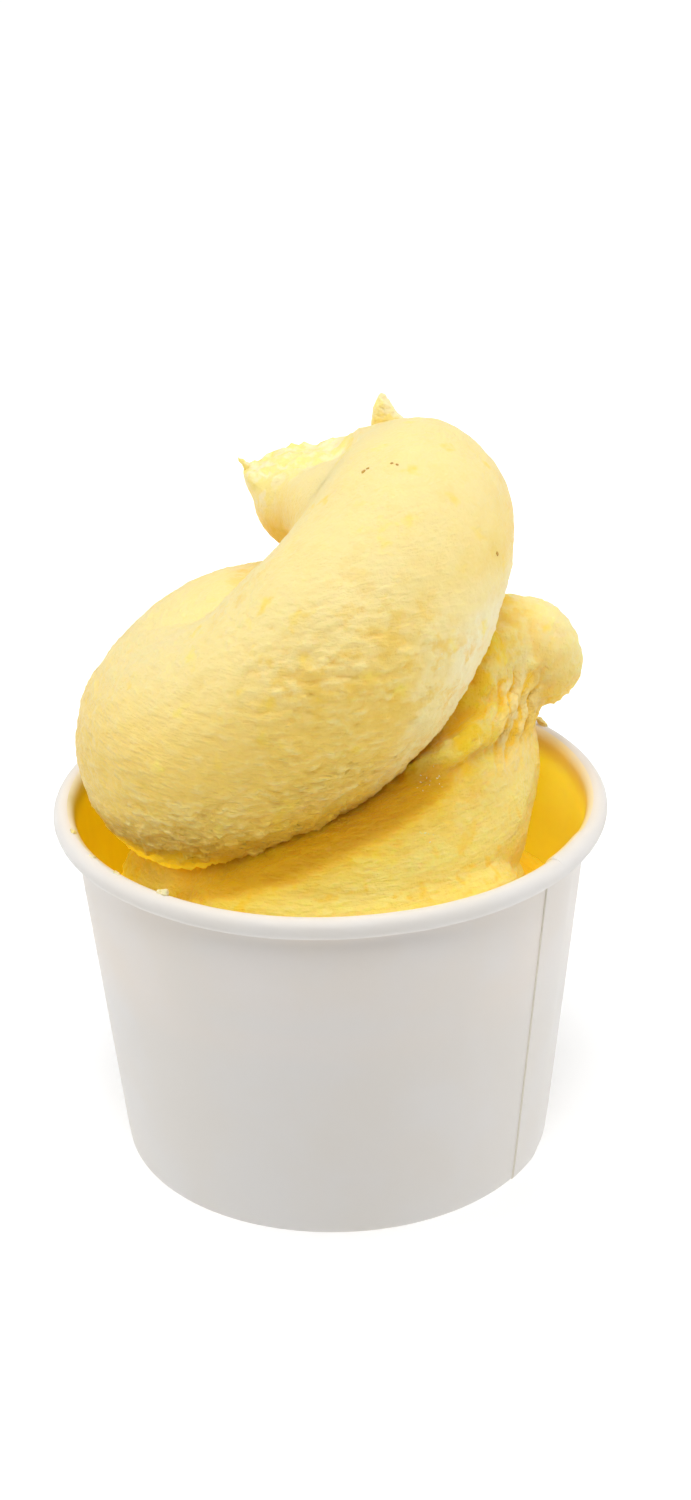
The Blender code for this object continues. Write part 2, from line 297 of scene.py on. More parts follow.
# The film of fruit inside the cup: its painted glow, its streaked left side darkened as painted
# shade, and its lighter right side
FILM_GLOW = (1.0, 0.66, 0.05)
FILM_THICK = ((0.46, 0.388, 0.002), (0.49, 0.416, 0.003))
FILM_THIN = ((0.68, 0.55, 0.10), (0.92, 0.72, 0.18))
BARE_COATING = (0.90, 0.85, 0.70)
# Paper, its cut edge, and what is strewn on the fruit
CUP_PAPER = (0.845, 0.815, 0.78)
BASE_PAPER = (0.78, 0.77, 0.74)
CUT_EDGE = (0.78, 0.73, 0.63)
BROWN = (0.62, 0.34, 0.05)
ICE = (1.0, 0.93, 0.6)

# Studio, in metres: what the lights face, how wide the floor is to each side, and each panel's
# place, size and power
LIGHT_AIM = (0.0, 0.0, 0.06)
FLOOR_REACH = 60.0
PANELS = {
    "light_above": ((-0.08, 0.0, 1.1), 0.7, 4.5),
    "light_front": ((0.0, -0.7, 1.1), 0.5, 7.0),
    "light_left": ((-1.0, 0.1, 0.5), 0.8, 2.9),
    "light_right": ((1.0, 0.1, 0.5), 0.8, 3.5),
}
# Camera
CAMERA_AIM = (2.65 * MM, 0.0, 68.8 * MM)
CAMERA_DISTANCE = 445.3 * MM
CAMERA_TILT = 25.03
CAMERA_ROLL = -1.25
CAMERA_LENS = 66.3


# ---------------------------------------------------------------- noise


GRADIENTS = np.random.default_rng(7).normal(size=(1024, 3))
GRADIENTS /= np.linalg.norm(GRADIENTS, axis=1, keepdims=True)


def noise(points, seed=0):
    """Smooth noise from about -1 to 1 at each row of points, one cell wide."""
    cell = np.floor(points).astype(np.int64)
    inside = points - cell
    fade = inside**3 * (inside * (inside * 6 - 15) + 10)
    total = np.zeros(len(points))
    for corner in itertools.product((0, 1), repeat=3):
        x, y, z = (cell + corner).T
        mixed = (x * 73856093) ^ (y * 19349663) ^ (z * 83492791) ^ (seed * 50331653)
        slope = GRADIENTS[(mixed ^ (mixed >> 13)) % 1024]
        weight = np.where(corner, fade, 1 - fade).prod(axis=1)
        total += weight * (slope * (inside - corner)).sum(axis=1)
    return total * 1.6


def fractal(points, octaves, seed=0):
    total = np.zeros(len(points))
    for octave in range(octaves):
        total += noise(points * 2**octave, seed + octave) / 2**octave
    return total


def ramp(value, low, high):
    """0 below low, 1 above high, smooth between them. low may be the larger."""
    t = np.clip((value - low) / (high - low), 0.0, 1.0)
    return t * t * (3 - 2 * t)


# ---------------------------------------------------------------- materials


class Nodes:
    """Short names for adding nodes to one material or world, round its own shader."""

    def __init__(self, owner, shader="Principled BSDF"):
        owner.use_nodes = True
        self.owner = owner
        self.tree = owner.node_tree
        self.shader = self.tree.nodes[shader]

    @classmethod
    def material(cls, name):
        return cls(bpy.data.materials.new(name))

    def add(self, kind, **settings):
        node = self.tree.nodes.new("ShaderNode" + kind)
        for key, value in settings.items():
            setattr(node, key, value)
        return node

    def link(self, output, socket):
        self.tree.links.new(output, socket)

    def feed(self, name, output):
        self.link(output, self.shader.inputs[name])

    def set(self, **values):
        for key, value in values.items():
            self.shader.inputs[key.replace("_", " ")].default_value = value

    def noise(self, vector, scale, detail=3.0, roughness=0.5):
        """Noise with this many cells a metre."""
        node = self.add("TexNoise")
        node.inputs["Scale"].default_value = scale
        node.inputs["Detail"].default_value = detail
        node.inputs["Roughness"].default_value = roughness
        self.link(vector, node.inputs["Vector"])
        return node.outputs["Fac"]

    def stretched(self, vector, scale):
        node = self.add("Mapping")
        node.inputs["Scale"].default_value = scale
        self.link(vector, node.inputs["Vector"])
        return node.outputs["Vector"]

    def between(self, value, low, high, start=0.0, end=1.0):
        """start where the value is low, end where it is high, smooth between them."""
        node = self.add("MapRange", interpolation_type="SMOOTHSTEP")
        sockets = ("From Min", "From Max", "To Min", "To Max")
        for socket, number in zip(sockets, (low, high, start, end)):
            node.inputs[socket].default_value = number
        self.link(value, node.inputs["Value"])
        return node.outputs["Result"]

    def math(self, operation, first, second=0.5):
        node = self.add("Math", operation=operation)
        for socket, value in zip(node.inputs, (first, second)):
            if isinstance(value, (int, float)):
                socket.default_value = value
            else:
                self.link(value, socket)
        return node.outputs["Value"]

    def mix(self, factor, first, second):
        """The first colour where factor is 0, the second where it is 1."""
        node = self.add("Mix", data_type="RGBA")
        sockets = (node.inputs[0], node.inputs[6], node.inputs[7])
        for socket, value in zip(sockets, (factor, first, second)):
            if isinstance(value, tuple):
                socket.default_value = (*value, 1.0)
            elif isinstance(value, float):
                socket.default_value = value
            else:
                self.link(value, socket)
        return node.outputs[2]

    def attribute(self, name):
        return self.add("Attribute", attribute_name=name).outputs["Fac"]

    def place(self):
        return self.add("TexCoord").outputs["Object"]

    def parts(self, vector):
        """X, Y and Z of a vector."""
        node = self.add("SeparateXYZ")
        self.link(vector, node.inputs[0])
        return [node.outputs[axis] for axis in "XYZ"]

    def times(self, first, *more):
        for factor in more:
            first = self.math("MULTIPLY", first, factor)
        return first

    def drawn(self, place):
        """Place unrolled about the cup's axis, so that a stretched noise runs in level circles."""
        x, y, z = self.parts(place)
        turn = self.math("ARCTAN2", x, self.times(y, -1.0))
        squares = self.math("ADD", self.math("POWER", x, 2.0), self.math("POWER", y, 2.0))
        unrolled = self.add("CombineXYZ")
        self.link(self.times(turn, UNROLL_RADIUS * MM), unrolled.inputs["X"])
        self.link(self.math("SQRT", squares), unrolled.inputs["Y"])
        self.link(z, unrolled.inputs["Z"])
        return unrolled.outputs["Vector"]

    def bump(self, height, strength, distance, normal=None):
        node = self.add("Bump")
        node.inputs["Strength"].default_value = strength
        node.inputs["Distance"].default_value = distance
        self.link(height, node.inputs["Height"])
        if normal:
            self.link(normal, node.inputs["Normal"])
        return node.outputs["Normal"]


def folds_and_relief(m, place, height, relief, ripe):
    """Fine folds drawn round the cup's axis, weaker high up, and their sum with the relief."""
    low = m.between(height, 96 * MM, 74 * MM, 0.3, 1.0)
    folds = m.noise(m.stretched(m.drawn(place), (420.0, 1250.0, 1250.0)), 1.0, 2.0, 0.6)
    folds = m.times(m.math("SUBTRACT", folds), low)
    folds = m.times(folds, m.math("SUBTRACT", 1.0, m.times(ripe, 0.5)))
    return folds, m.math("ADD", relief, folds)


def fruit_patches(m, place, across, height):
    """How much of a darker patch of fruit is at each place, on the middle of the front."""
    blotches = m.between(m.noise(place, 260.0, 4.0, 0.6), 0.46, 0.62)
    among = m.between(m.noise(place, 45.0, 1.0), 0.36, 0.58)
    rising = m.between(height, 60 * MM, 76 * MM, 0.3)
    falling = m.between(height, 114 * MM, 98 * MM, 0.2)
    return m.times(blotches, among, rising, falling, m.between(across, -24 * MM, -8 * MM))


def soft_serve_material(name, glow, depth):
    """Moist whipped fruit with pulp, paler where it faces up and amber in the pits and creases,
    both painted light and shade.

    glow is how much light spreads under the surface, and depth how far.
    """
    m = Nodes.material(name)
    place = m.place()
    across, _, height = m.parts(place)
    lift = m.attribute("lift")
    ripe = m.attribute("ripe")
    juicy = m.attribute("juicy")
    crevice = m.attribute("crevice")
    folds, relief = folds_and_relief(m, place, height, m.attribute("relief"), ripe)

    # Painted light and shade: the cream is lighter where the skin faces up and deeper where it
    # faces down
    colour = m.mix(m.between(lift, -0.1, 0.75), CREAM_SHADED, CREAM_LIT)
    # Painted highlight, frosty in tone, on the fold and on the side facing +X, where the painted
    # light runs highest
    colour = m.mix(m.between(lift, 1.0, 1.6), colour, FROSTED)
    # Low on the mound the melting fruit is deeper yellow, and lighter there as painted light
    colour = m.mix(ripe, colour, RIPE)
    # Painted shade in the hollows of the wrinkles, painted light on their ridges
    colour = m.mix(m.between(relief, -0.1, -0.8, 0.0, 0.8), colour, PIT)
    colour = m.mix(m.between(relief, -0.1, 0.45, 0.0, 0.4), colour, RIDGE)
    colour = m.mix(m.times(fruit_patches(m, place, across, height), 0.65), colour, FRUIT_PATCH)
    # Juice's orange and painted shade, laid in the fold, near the upper turn, in the pocket and in
    # the pleats' hollows
    wet = m.math("ADD", m.noise(place, 200.0, 4.0, 0.6), m.times(juicy, 0.14))
    juice = m.times(m.between(wet, 0.50, 0.80), juicy)
    colour = m.mix(m.math("MINIMUM", juice, 0.9), colour, JUICE)
    spots = m.times(m.between(m.noise(place, 300.0, 2.0), 0.55, 0.68), ripe)
    colour = m.mix(m.times(spots, 0.75), colour, RIPE_SPOT)
    lemon = m.mix(m.between(m.noise(place, 70.0, 0.0), 0.45, 0.55), PULP_DEEP, PULP_LEMON)
    colour = m.mix(m.between(m.noise(place, 170.0, 3.0, 0.55), 0.60, 0.74, 0.0, 0.7), colour, lemon)
    # Painted shade: amber in the creases between the turns, darkest where they are closest
    colour = m.mix(m.times(crevice, 0.95), colour, CREASE)
    colour = m.mix(m.between(crevice, 0.6, 1.0, 0.0, 0.9), colour, CREASE_DEEP)
    crumb = m.mix(m.between(m.noise(place, 420.0, 3.0), 0.42, 0.60), CRUMB_YELLOW, CRUMB_PALE)
    colour = m.mix(m.times(m.attribute("torn"), 0.8), colour, crumb)
    m.feed("Base Color", colour)

    # Painted glow, as if light came through the fruit: at the low edge against the wall, under the
    # lobe, on the upper turn's low underside, and faintly low on the mound
    glowing = m.math("ADD", m.times(m.attribute("melted"), 0.32), m.times(ripe, 0.045))
    m.feed("Emission Strength", glowing)
    m.set(Emission_Color=(*FRUIT_GLOW, 1.0))
    grain = m.noise(place, 1700.0, 3.0, 0.65)
    normal = m.bump(grain, 0.8, 0.16 * MM, m.bump(folds, 1.0, 0.8 * MM))
    m.feed("Normal", normal)
    m.feed("Roughness", m.between(grain, 0.3, 0.7, 0.36, 0.52))
    m.feed("Subsurface Weight", m.between(m.attribute("thin"), 0.0, 1.0, glow, 0.1))
    m.set(IOR=1.35, Specular_IOR_Level=0.35, Subsurface_Scale=depth)
    m.set(Sheen_Weight=0.1, Sheen_Roughness=0.4)
    m.set(Subsurface_Radius=(1.0, 0.65, 0.12))
    return m.owner


def paper_material(name, colour, roughness):
    """Smooth cup paper: faint clouds in its white, and a fine tooth."""
    m = Nodes.material(name)
    place = m.place()
    clouds = m.noise(place, 60.0, 3.0)
    fibre = m.noise(m.stretched(place, (1.0, 1.0, 0.35)), 2600.0, 4.0, 0.6)
    warm = tuple(c * k for c, k in zip(colour, (1.0, 0.985, 0.96)))
    m.feed("Base Color", m.mix(m.between(clouds, 0.35, 0.65), colour, warm))
    m.feed("Normal", m.bump(fibre, 0.12, 0.03 * MM))
    m.feed("Roughness", m.between(clouds, 0.3, 0.7, roughness - 0.05, roughness + 0.05))
    m.set(IOR=1.45, Subsurface_Weight=0.5, Subsurface_Scale=0.0006)
    m.set(Subsurface_Radius=(1.0, 1.0, 1.0))
    return m.owner


def cup_inside_material(name, glow):
    """The coated inside, wet with melting fruit up to the rim, which light comes through, with a
    painted glow and painted shade on the left.
    """
    m = Nodes.material(name)
    place = m.place()
    across, _, height = m.parts(place)
    wobble = m.math("SUBTRACT", m.noise(m.stretched(place, (1.0, 1.0, 0.5)), 110.0, 3.0))
    level = m.math("ADD", height, m.times(wobble, 0.003))
    film = m.between(level, 62.6 * MM, 58.4 * MM)
    streaks = m.noise(m.stretched(place, (1.0, 1.0, 0.25)), 300.0, 3.0)
    # Painted shade: the film is darker on the left side, in streaks
    thick = m.mix(m.between(streaks, 0.3, 0.7), *FILM_THICK)
    # The right side's film, lighter as painted light, and darker towards the bottom
    thin = m.mix(m.between(height, 46 * MM, 59 * MM), *FILM_THIN)
    fruit = m.mix(m.between(across, -20 * MM, 20 * MM), thick, thin)
    m.feed("Base Color", m.mix(film, BARE_COATING, fruit))
    m.feed("Roughness", m.between(film, 0.0, 1.0, 0.5, 0.3))
    m.feed("Normal", m.bump(streaks, 0.2, 0.1 * MM))
    # Painted glow, as if light came through the paper: more on the right and near the top
    through = m.between(across, -20 * MM, 20 * MM, 0.02, 0.07)
    through = m.times(through, m.between(height, 54 * MM, 60 * MM, 1.0, 2.6))
    m.feed("Emission Strength", m.times(film, through))
    m.set(Emission_Color=(*FILM_GLOW, 1.0))
    m.feed("Subsurface Weight", m.between(height, 60 * MM, 56 * MM, 0.0, glow))
    m.set(IOR=1.4, Specular_IOR_Level=0.2, Subsurface_Scale=0.0015)
    m.set(Subsurface_Radius=(2.15, 1.25, 0.09))
    return m.owner


def plain_material(name, colour, roughness, scale, variation=0.12):
    """One colour with a little mottling."""
    m = Nodes.material(name)
    mottle = m.noise(m.place(), scale, 3.0)
    darker = tuple(c * (1 - variation) for c in colour)
    m.feed("Base Color", m.mix(mottle, darker, colour))
    m.feed("Roughness", m.between(mottle, 0.3, 0.7, roughness - 0.06, roughness + 0.06))
    return m.owner


def floor_material():
    """White, and lit from below like a light table, more so away from the cup."""
    m = Nodes.material("floor_white")
    white = m.mix(m.noise(m.place(), 3.0), (0.92, 0.92, 0.92), (0.93, 0.93, 0.93))
    m.feed("Base Color", white)
    reach = m.add("VectorMath", operation="LENGTH")
    m.link(m.place(), reach.inputs[0])
    m.feed("Emission Strength", m.between(reach.outputs["Value"], 0.04, 0.4, 0.14, 0.60))
    m.set(Roughness=0.7)
    m.set(Emission_Color=(1.0, 1.0, 1.0, 1.0))
    return m.owner


# ---------------------------------------------------------------- mesh helpers


def link_object(name, mesh, *materials):
    for material in materials:
        mesh.materials.append(material)
    obj = bpy.data.objects.new(name, mesh)
    bpy.context.scene.collection.objects.link(obj)
    return obj


def mesh_from(name, points, faces):
    """A mesh from points in millimetres."""
    mesh = bpy.data.meshes.new(name)
    mesh.from_pydata((np.asarray(points) * MM).tolist(), [], faces)
    mesh.update()
    return mesh


def evaluated_mesh(obj):
    bpy.context.view_layer.update()
    graph = bpy.context.evaluated_depsgraph_get()
    return bpy.data.meshes.new_from_object(obj.evaluated_get(graph))


def vertex_points(mesh):
    flat = np.empty(len(mesh.vertices) * 3)
    mesh.vertices.foreach_get("co", flat)
    return flat.reshape(-1, 3) / MM


def vertex_normals(mesh):
    flat = np.empty(len(mesh.vertices) * 3)
    mesh.vertex_normals.foreach_get("vector", flat)
    return flat.reshape(-1, 3)


def set_points(mesh, points):
    mesh.vertices.foreach_set("co", (points * MM).ravel())
    mesh.update()


def finish_skin(mesh, points, **attributes):
    """Moves the mesh to these points, and stores the numbers that its material reads."""
    set_points(mesh, points)
    for name, values in attributes.items():
        mesh.attributes.new(name, "FLOAT", "POINT").data.foreach_set("value", values)
    mesh.shade_smooth()


# ---------------------------------------------------------------- cup


def wall_radius(height):
    """Radius of the middle of the wall's paper at this height."""
    foot = FOOT_RADIUS - PAPER / 2
    top = RIM_RADIUS - 2 * ROLL_RADIUS + PAPER / 2
    return foot + (top - foot) * height / (CUP_HEIGHT - ROLL_RADIUS)


def wall_inside(height):
    return wall_radius(height) - PAPER / 2


def arc(centre, radius, start, turn, steps):
    """Points of (radius, height) along a circle, from start through turn degrees."""
    angles = [math.radians(start + turn * step / steps) for step in range(steps + 1)]
    return [(centre[0] + radius * math.cos(a), centre[1] + radius * math.sin(a)) for a in angles]


def wall_centreline():
    """The middle of the paper: hem, fold under the foot, wall, roll. Also where the roll starts."""
    hem = FOOT_RADIUS - HEM_INSET
    corner_height = PAPER / 2 + FOOT_CORNER
    points = [(hem + 0.2, HEM_HEIGHT), (hem + 0.1, HEM_HEIGHT / 2)]
    points += arc((hem + FOOT_CORNER, corner_height), FOOT_CORNER, 180, 90, 4)
    points += arc((wall_radius(0) - FOOT_CORNER, corner_height), FOOT_CORNER, 270, 90, 4)
    foot = points[-1][1]
    roll_height = CUP_HEIGHT - ROLL_RADIUS
    for row in range(1, WALL_ROWS):
        height = foot + (roll_height - foot) * row / WALL_ROWS
        points.append((wall_radius(height), height))
    roll_start = len(points)
    roll_centre = (RIM_RADIUS - ROLL_RADIUS, roll_height)
    points += arc(roll_centre, ROLL_RADIUS - PAPER / 2, 180, -ROLL_SWEEP, ROLL_STEPS)
    return np.array(points), roll_start


def paper_sides(points):
    """The two sides of a strip of paper along these points."""
    along = np.gradient(points, axis=0)
    along /= np.linalg.norm(along, axis=1, keepdims=True)
    across = np.stack([-along[:, 1], along[:, 0]], axis=1) * PAPER / 2
    return points + across, points - across


def seam_offsets():
    """Degrees past the seam's edge of every column, with close columns at the edge."""
    close = [-0.35, -0.16, -0.10, 0.0, 0.04, 0.3, 0.6]
    steps = [360.0 * step / CUP_COLUMNS for step in range(1, CUP_COLUMNS - 1)]
    return np.array(close + steps)


def wall_section(outline, outer, on_roll, offset):
    """The paper's outline at this many degrees past the seam's edge, as points in space.

    outer and on_roll say which of its points are on the wall's outside and on the roll.
    """
    double = ramp(offset, -0.1, 0.0) * ramp(offset, SEAM_OVERLAP + SEAM_FADE, SEAM_OVERLAP)
    in_gap = -0.2 < offset < -0.01
    angle = math.radians(SEAM_ANGLE + offset)
    round_the_cup = np.array([[2 * math.cos(angle), 2 * math.sin(angle), 0.0]])
    radius, height = outline.T.copy()
    below_roll = np.maximum(ramp(height, CUP_HEIGHT - ROLL_RADIUS, CUP_HEIGHT - 5.0), 0.25)
    radius += (double * SEAM_STEP - in_gap * SEAM_SHADOW) * outer * below_roll
    swell = 1 + SEAM_SWELL * double * on_roll
    roll_radius = RIM_RADIUS - ROLL_RADIUS
    roll_height = CUP_HEIGHT - ROLL_RADIUS
    radius = roll_radius + (radius - roll_radius) * swell - SEAM_SHIFT * double * on_roll
    height = roll_height + (height - roll_height) * swell
    # The cup is a little out of round, and its wall and rim wave a little
    radius *= 1 - 0.0012 * (1 + math.sin(2 * angle + 0.6))
    radius += 0.05 * noise(round_the_cup * 2.5, 3)[0] * ramp(height, 5.0, 50.0) - 0.05
    height += 0.12 * noise(round_the_cup * 1.3, 5)[0] * ramp(height, 40.0, 60.0)
    height = np.maximum(height, 0.0)
    return np.column_stack([radius * math.cos(angle), radius * math.sin(angle), height])


def build_cup_wall():
    """Sections of the paper's outline, lofted round, with the lap seam's step and shadow gap."""
    centreline, roll_start = wall_centreline()
    inner, outer = paper_sides(centreline)
    outline = np.concatenate([inner, outer[::-1]])
    index = np.arange(len(centreline))
    index = np.concatenate([index, index[::-1]])
    rows = len(outline)
    outside = (np.arange(rows) >= len(centreline)) & (index >= HEM_POINTS) & (index < roll_start)
    offsets = seam_offsets()
    columns = len(offsets)
    sections = [wall_section(outline, outside, index >= roll_start, offset) for offset in offsets]
    faces = []
    slots = []
    for column in range(columns):
        here = column * rows
        beyond = (column + 1) % columns * rows
        for row in range(rows):
            after = (row + 1) % rows
            faces.append((here + row, here + after, beyond + after, beyond + row))
            if HEM_POINTS < row < roll_start:
                slots.append(COATED)
            elif outside[row] and -0.12 < offsets[column] < 0.02:
                slots.append(CUT)
            elif roll_start <= row < roll_start + INSIDE_ROLL:
                slots.append(LIP_INSIDE)
            else:
                slots.append(OUTSIDE)
    mesh = mesh_from("cup_wall_paper", np.concatenate(sections), faces)
    mesh.polygons.foreach_set("material_index", slots)
    bm = bmesh.new()
    bm.from_mesh(mesh)
    bmesh.ops.recalc_face_normals(bm, faces=bm.faces)
    bm.to_mesh(mesh)
    bm.free()
    mesh.shade_smooth()
    mesh.set_sharp_from_angle(angle=math.radians(38))
    return link_object(
        "cup_wall_paper",
        mesh,
        paper_material("cup_paper", CUP_PAPER, 0.5),
        cup_inside_material("cup_inside", 1.0),
        plain_material("cut_edge", CUT_EDGE, 0.8, 900.0),
        cup_inside_material("rim_inside", 0.0),
    )


def turned(name, profile, *materials, steps=180):
    """A body turned from an outline of (radius, height) in millimetres, top to bottom at +X."""
    mesh = bpy.data.meshes.new(name)
    edges = [(i, i + 1) for i in range(len(profile) - 1)]
    mesh.from_pydata([(r * MM, 0.0, z * MM) for r, z in profile], edges, [])
    obj = link_object(name, mesh, *materials)
    screw = obj.modifiers.new("Turn", "SCREW")
    screw.axis = "Z"
    screw.steps = steps
    screw.render_steps = steps
    screw.use_merge_vertices = True
    screw.merge_threshold = WELD
    screw.use_smooth_shade = True
    solid = evaluated_mesh(obj)
    obj.modifiers.clear()
    obj.data = solid
    solid.name = name
    solid.set_sharp_from_angle(angle=math.radians(40))
    return obj


def build_cup_base():
    """The raised base: a disc that sags a little, with its rim turned down into the hem."""
    top = wall_inside(BASE_TOP) - BASE_GAP
    bottom = wall_inside(SKIRT_BOTTOM) - BASE_GAP
    corner = (top - BASE_CORNER, BASE_TOP - BASE_CORNER)

    def disc(height, edge):
        """Points from the middle out to this far inside the rim."""
        reaches = [(top - edge) * step / 12 for step in range(13)]
        return [(reach, height - BASE_SAG * (1 - (reach / top) ** 2)) for reach in reaches]

    profile = disc(BASE_TOP, 1.2) + arc(corner, BASE_CORNER, 90, -90, 4)
    profile += [(bottom, SKIRT_BOTTOM), (bottom - PAPER, SKIRT_BOTTOM)]
    profile += arc(corner, BASE_CORNER - PAPER, 0, 90, 4) + disc(BASE_TOP - PAPER, 1.3)[::-1]
    return turned("cup_base_paper", profile, paper_material("base_paper", BASE_PAPER, 0.6))


# ---------------------------------------------------------------- soft serve shapes


class Rope:
    """A tube of changing thickness along a smooth curve through its stations."""

    def __init__(self, stations):
        turns = np.radians([s[0] for s in stations])
        reach = np.array([s[1] for s in stations], float)
        rest = np.array([s[2:] for s in stations], float)
        knots = np.column_stack([reach * np.cos(turns), reach * np.sin(turns), rest])
        knots = np.vstack([2 * knots[0] - knots[1], knots, 2 * knots[-1] - knots[-2]])
        path = []
        for p0, p1, p2, p3 in zip(knots, knots[1:], knots[2:], knots[3:]):
            for t in np.arange(SAMPLES_PER_SPAN) / SAMPLES_PER_SPAN:
                bend = 2 * p0 - 5 * p1 + 4 * p2 - p3
                twist = 3 * p1 - p0 - 3 * p2 + p3
                path.append(0.5 * (2 * p1 + (p2 - p0) * t + bend * t * t + twist * t**3))
        path.append(knots[-2])
        path = self.end(path[0], path[1])[::-1] + path + self.end(path[-1], path[-2])
        path = np.array(path)
        self.middle = path[:, :3]
        self.thickness = path[:, 3]

    @staticmethod
    def end(last, before):
        """Samples that round off the end of the tube."""
        ahead = (last - before)[:3]
        ahead *= last[3] / np.linalg.norm(ahead)
        samples = []
        for angle in np.radians(np.arange(10, 90, 10)):
            middle = last[:3] + ahead * math.sin(angle)
            samples.append(np.append(middle, last[3] * math.cos(angle)))
        return samples

    def mesh(self):
        data = bpy.data.curves.new("rope", "CURVE")
        data.dimensions = "3D"
        data.bevel_depth = 1.0
        data.bevel_resolution = ROPE_RESOLUTION
        data.use_fill_caps = True
        spline = data.splines.new("POLY")
        spline.points.add(len(self.middle) - 1)
        for point, middle, thickness in zip(spline.points, self.middle, self.thickness):
            point.co = (*(middle * MM), 1.0)
            point.radius = thickness * MM
        curve = link_object("rope", data)
        mesh = evaluated_mesh(curve)
        bpy.data.objects.remove(curve)
        return mesh

    def outside(self, points):
        """How far outside the tube each point is."""
        gaps = [
            (np.linalg.norm(some[:, None] - self.middle[None], axis=2) - self.thickness).min(axis=1)
            for some in np.array_split(points, len(points) // 4000 + 1)
        ]
        return np.concatenate(gaps)


def heap_mesh():
    """The heap of fill under the rope: half an ellipsoid, nearly flat below."""
    bm = bmesh.new()
    bmesh.ops.create_uvsphere(bm, u_segments=64, v_segments=40, radius=1.0)
    for vert in bm.verts:
        if vert.co.z < 0:
            vert.co.z *= 0.15
    place = Matrix.Translation(Vector(HEAP_CENTRE) * MM)
    place = place @ Matrix.Diagonal((*(Vector(HEAP_RADII) * MM), 1.0))
    bmesh.ops.transform(bm, matrix=place, verts=bm.verts)
    mesh = bpy.data.meshes.new("heap")
    bm.to_mesh(mesh)
    bm.free()
    return mesh


def puck_mesh():
    """The top of the fill, just wider than the cup's inside."""
    edge = wall_inside(FILL_LEVEL) + 1.0
    profile = [
        (0.0, FILL_LEVEL + 1.0),
        (edge - 12.0, FILL_LEVEL + 1.0),
        (edge - 4.0, FILL_LEVEL + 0.4),
        (edge, FILL_LEVEL + 0.6),
        (edge - 0.6, PUCK_BOTTOM),
        (0.0, PUCK_BOTTOM),
    ]
    obj = turned("puck", profile, steps=120)
    mesh = obj.data
    bpy.data.objects.remove(obj)
    return mesh


def grown_together(name, meshes, voxel, material):
    """The meshes as one closed skin, remeshed evenly and smoothed where they meet."""
    bm = bmesh.new()
    for mesh in meshes:
        bm.from_mesh(mesh)
    bmesh.ops.remove_doubles(bm, verts=bm.verts, dist=WELD)
    joined = bpy.data.meshes.new(name)
    bm.to_mesh(joined)
    bm.free()
    obj = link_object(name, joined, material)
    remesh = obj.modifiers.new("Grow together", "REMESH")
    remesh.mode = "VOXEL"
    remesh.voxel_size = voxel * MM
    smooth = obj.modifiers.new("Soften", "SMOOTH")
    smooth.factor = 0.5
    smooth.iterations = 2
    mesh = evaluated_mesh(obj)
    drop_small_shells(mesh)
    obj.modifiers.clear()
    obj.data = mesh
    mesh.name = name
    return obj


def drop_small_shells(mesh):
    """Deletes the tiny closed shells that the remesh leaves where ropes cross."""
    bm = bmesh.new()
    bm.from_mesh(mesh)
    left = set(bm.verts)
    while left:
        shell = {left.pop()}
        border = shell
        while border:
            border = {edge.other_vert(vert) for vert in border for edge in vert.link_edges} - shell
            shell = shell | border
        left -= shell
        if len(shell) < SMALLEST_SHELL:
            bmesh.ops.delete(bm, geom=list(shell), context="VERTS")
    bm.to_mesh(mesh)
    bm.free()


def soften(obj, centre, reach, rounds):
    """Extra smoothing round one place, where two turns run together."""
    weights = ramp(np.linalg.norm(vertex_points(obj.data) - centre, axis=1), reach, reach * 0.5)
    group = obj.vertex_groups.new(name="soft")
    for index in np.flatnonzero(weights):
        group.add([int(index)], float(weights[index]), "REPLACE")
    smooth = obj.modifiers.new("Soften", "SMOOTH")
    smooth.factor = 0.5
    smooth.iterations = rounds
    smooth.vertex_group = group.name
    mesh = evaluated_mesh(obj)
    obj.modifiers.clear()
    obj.data = mesh
    obj.vertex_groups.clear()


def torn_height(x, y):
    """Height of the tear: it rises towards +X, and steeply towards the bend in front."""
    near = np.maximum(TORN_CENTRE[1] - 5 - y, 0.0)
    beside = np.clip((x + 8) / 8, 0.0, 1.0)
    rise = TORN_SLOPE * (x - TORN_CENTRE[0])
    rise += 0.09 * beside * near**2 + 0.2 * np.maximum(x - 1, 0.0) ** 2
    flat = np.column_stack([x, y, np.zeros_like(x)])
    rough = 0.9 * noise(flat / 4.0, 21) + 0.6 * noise(flat / 1.7, 22) + 0.35 * noise(flat / 0.9, 23)
    return TORN_HEIGHT + rise + rough


def tear(points):
    """Cuts the rope's end down to the tear. Returns the points and how torn each one is."""
    x, y, z = points.T
    inside = TORN_HALF - np.maximum(np.abs(x - TORN_CENTRE[0]), np.abs(y - TORN_CENTRE[1]))
    above = z - torn_height(x, y)
    cut = points.copy()
    round_off = 0.35 + 1.1 * ramp(y, 21.0, 14.0) + 1.2 * ramp(x, -3.0, 4.0)
    cut[:, 2] -= ramp(inside, 0.0, 1.2) * np.logaddexp(0.0, above / round_off) * round_off
    return cut, ramp(inside, 0.0, 4.0) * ramp(above, -9.0, -2.0) * ramp(y, 9.0, 16.0)


def drawn_noise(points, along, across, seed):
    """Noise drawn out along level circles round the cup's axis."""
    x, y, z = points.T
    angle = np.arctan2(x, -y)
    drawn = np.column_stack([angle * UNROLL_RADIUS / along, np.hypot(x, y) / across, z / across])
    behind = ramp(np.abs(angle), 2.6, 3.1)
    return noise(drawn, seed) * (1 - behind) + noise(points / across, seed) * behind


